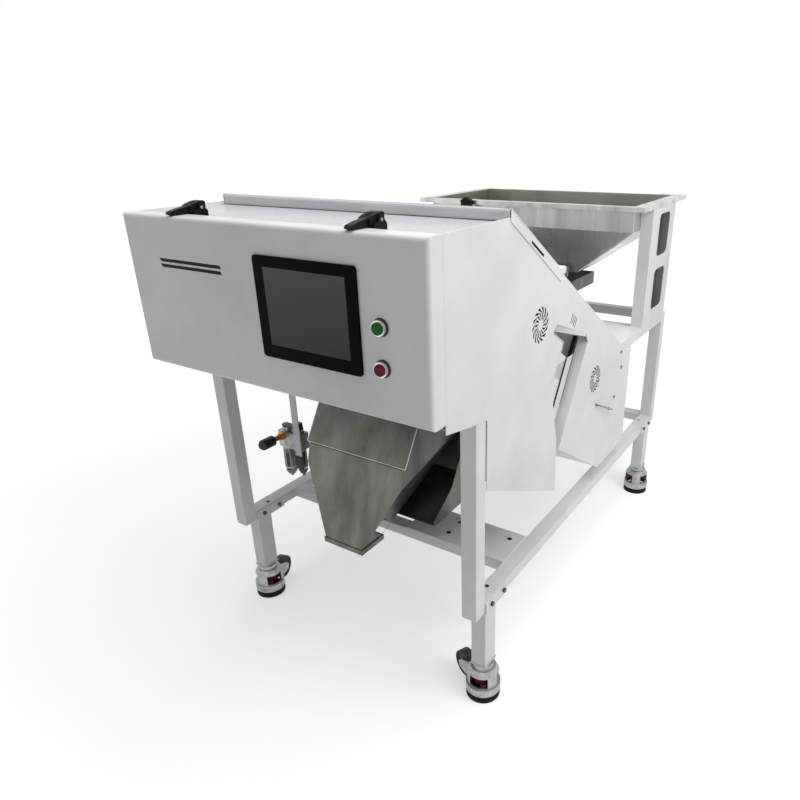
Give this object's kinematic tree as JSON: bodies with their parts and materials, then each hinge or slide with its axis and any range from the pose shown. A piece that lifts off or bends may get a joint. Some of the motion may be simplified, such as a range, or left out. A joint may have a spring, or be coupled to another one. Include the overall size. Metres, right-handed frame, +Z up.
{
  "type": "optical colour sorter",
  "caption": "Free-standing chute-type optical sorter: sloped white cabinet with touch panel, infeed hopper, vibrating tray, outlets and tube frame on levelling casters.",
  "frame": {"origin": "on the floor under the middle of the outline", "axes": "+Z up, -Y towards the door and its display, +X to the right of a person facing the door's inside from the rear"},
  "size_m": [0.876, 1.642, 1.2134],
  "materials": {
    "white_paint": "powder-coated sheet and tube",
    "stainless": "brushed stainless sheet",
    "dark_steel": "blackened steel",
    "black_plastic": "moulded black nylon",
    "rubber": "moulded black rubber",
    "cast_alloy": "tumbled casting",
    "drive": "painted casting",
    "case": "folded case",
    "glass": "clear float glass",
    "screen": "dark display glass",
    "bowl": "clear moulded bowl",
    "brass": "turned brass",
    "lamp": "moulded diffuser",
    "chrome": "plated ring",
    "green": "moulded green cap",
    "red": "moulded red cap",
    "nylon": "moulded grey nylon",
    "red_grip": "moulded dark red grip with rubber pad"
  },
  "bodies": {
    "body": {"base_rails": "white_paint", "cross_beams": "white_paint", "front_uprights": "white_paint", "rear_frame": "white_paint", "legs": "white_paint", "leg_fasteners": "dark_steel", "deck_plates": "white_paint", "side_plate_left": "white_paint", "side_plate_right": "white_paint", "top_panels": "white_paint", "belly_panel": "white_paint", "hinge_pins": "dark_steel", "latch_bases": "black_plastic", "front_camera_box": "white_paint", "rear_camera_box": "white_paint", "cameras": "case", "light_bars": "lamp", "inspection_glasses": "glass", "chute": "stainless", "edge_seals": "rubber", "ejector_manifold": "cast_alloy", "ejector_valves": "black_plastic", "control_computer": "case", "power_supply": "case", "accept_hopper": "stainless", "accept_cover": "stainless", "reject_hopper": "stainless", "air_bracket": "white_paint", "air_filter_body": "cast_alloy", "air_filter_bowls": "bowl", "inlet_nipple": "brass", "inlet_cap": "rubber", "hopper": "stainless", "hopper_posts": "white_paint", "feeder_base": "drive", "feeder_springs": "stainless"},
    "door": {"front_door": "white_paint", "screen_frame": "black_plastic", "screen_glass": "screen", "button_rings": "chrome"},
    "start_cap": {"start_button": "green"},
    "stop_cap": {"stop_button": "red"},
    "latch_left": {"latch_lever_left": "black_plastic"},
    "latch_right": {"latch_lever_right": "black_plastic"},
    "lid": {"rear_lid": "white_paint"},
    "tray": {"feeder_tray": "stainless"},
    "gate": {"hopper_gate": "stainless"},
    "knob": {"gate_knob": "black_plastic"},
    "caster_fr": {"caster_body_fr": "cast_alloy"},
    "wheel_fr": {"caster_wheel_fr": "nylon"},
    "foot_fr": {"caster_foot_fr": "red_grip"},
    "caster_fl": {"caster_body_fl": "cast_alloy"},
    "wheel_fl": {"caster_wheel_fl": "nylon"},
    "foot_fl": {"caster_foot_fl": "red_grip"},
    "caster_rr": {"caster_body_rr": "cast_alloy"},
    "wheel_rr": {"caster_wheel_rr": "nylon"},
    "foot_rr": {"caster_foot_rr": "red_grip"},
    "caster_rl": {"caster_body_rl": "cast_alloy"},
    "wheel_rl": {"caster_wheel_rl": "nylon"},
    "foot_rl": {"caster_foot_rl": "red_grip"}
  },
  "joints": [
    {"name": "door_hinge", "type": "hinge", "parent": "body", "child": "door", "pos_m": [0, -0.761, 0.836], "axis": [1, 0, 0], "range_deg": [0, 90]},
    {"name": "start_press", "type": "slide", "parent": "door", "child": "start_cap", "axis": [0, 1, 0], "range_m": [0, 0.004], "stiffness_N_per_m": 800, "springref_m": -0.001},
    {"name": "stop_press", "type": "slide", "parent": "door", "child": "stop_cap", "axis": [0, 1, 0], "range_m": [0, 0.004], "stiffness_N_per_m": 800, "springref_m": -0.001},
    {"name": "latch_left_lift", "type": "hinge", "parent": "body", "child": "latch_left", "pos_m": [-0.248, -0.733, 1.2], "axis": [-1, 0, 0], "range_deg": [0, 80]},
    {"name": "latch_right_lift", "type": "hinge", "parent": "body", "child": "latch_right", "pos_m": [0.248, -0.733, 1.2], "axis": [-1, 0, 0], "range_deg": [0, 80]},
    {"name": "lid_hinge", "type": "hinge", "parent": "body", "child": "lid", "pos_m": [0, -0.511, 1.19], "axis": [1, 0, 0], "range_deg": [0, 70]},
    {"name": "tray_shake", "type": "slide", "parent": "body", "child": "tray", "axis": [0, -0.9785, 0.206], "range_m": [-0.0015, 0.0015], "stiffness_N_per_m": 40000, "deforming": ["feeder_springs"]},
    {"name": "gate_slide", "type": "slide", "parent": "body", "child": "gate", "axis": [0, 0, 1], "range_m": [0, 0.04]},
    {"name": "knob_turn", "type": "hinge", "parent": "body", "child": "knob", "pos_m": [-0.207, 0.3462, 1.113], "axis": [0, 1, 0], "range_deg": [0, 360]},
    {"name": "swivel_fr", "type": "hinge", "parent": "body", "child": "caster_fr", "pos_m": [0.393, -0.577, 0.1], "axis": [0, 0, 1], "continuous": true},
    {"name": "roll_fr", "type": "hinge", "parent": "caster_fr", "child": "wheel_fr", "pos_m": [0.32722, -0.54771, 0.04], "axis": [-0.4067, -0.9135, 0], "continuous": true},
    {"name": "level_fr", "type": "slide", "parent": "caster_fr", "child": "foot_fr", "axis": [0, 0, 1], "range_m": [-0.008, 0.004]},
    {"name": "swivel_fl", "type": "hinge", "parent": "body", "child": "caster_fl", "pos_m": [-0.393, -0.577, 0.1], "axis": [0, 0, 1], "continuous": true},
    {"name": "roll_fl", "type": "hinge", "parent": "caster_fl", "child": "wheel_fl", "pos_m": [-0.41163, -0.50745, 0.04], "axis": [-0.9659, -0.2588, 0], "continuous": true},
    {"name": "level_fl", "type": "slide", "parent": "caster_fl", "child": "foot_fl", "axis": [0, 0, 1], "range_m": [-0.008, 0.004]},
    {"name": "swivel_rr", "type": "hinge", "parent": "body", "child": "caster_rr", "pos_m": [0.393, 0.655, 0.1], "axis": [0, 0, 1], "continuous": true},
    {"name": "roll_rr", "type": "hinge", "parent": "caster_rr", "child": "wheel_rr", "pos_m": [0.37437, 0.72455, 0.04], "axis": [-0.9659, -0.2588, 0], "continuous": true},
    {"name": "level_rr", "type": "slide", "parent": "caster_rr", "child": "foot_rr", "axis": [0, 0, 1], "range_m": [-0.008, 0.004]},
    {"name": "swivel_rl", "type": "hinge", "parent": "body", "child": "caster_rl", "pos_m": [-0.393, 0.655, 0.1], "axis": [0, 0, 1], "continuous": true},
    {"name": "roll_rl", "type": "hinge", "parent": "caster_rl", "child": "wheel_rl", "pos_m": [-0.41163, 0.72455, 0.04], "axis": [-0.9659, -0.2588, 0], "continuous": true},
    {"name": "level_rl", "type": "slide", "parent": "caster_rl", "child": "foot_rl", "axis": [0, 0, 1], "range_m": [-0.008, 0.004]}
  ]
}
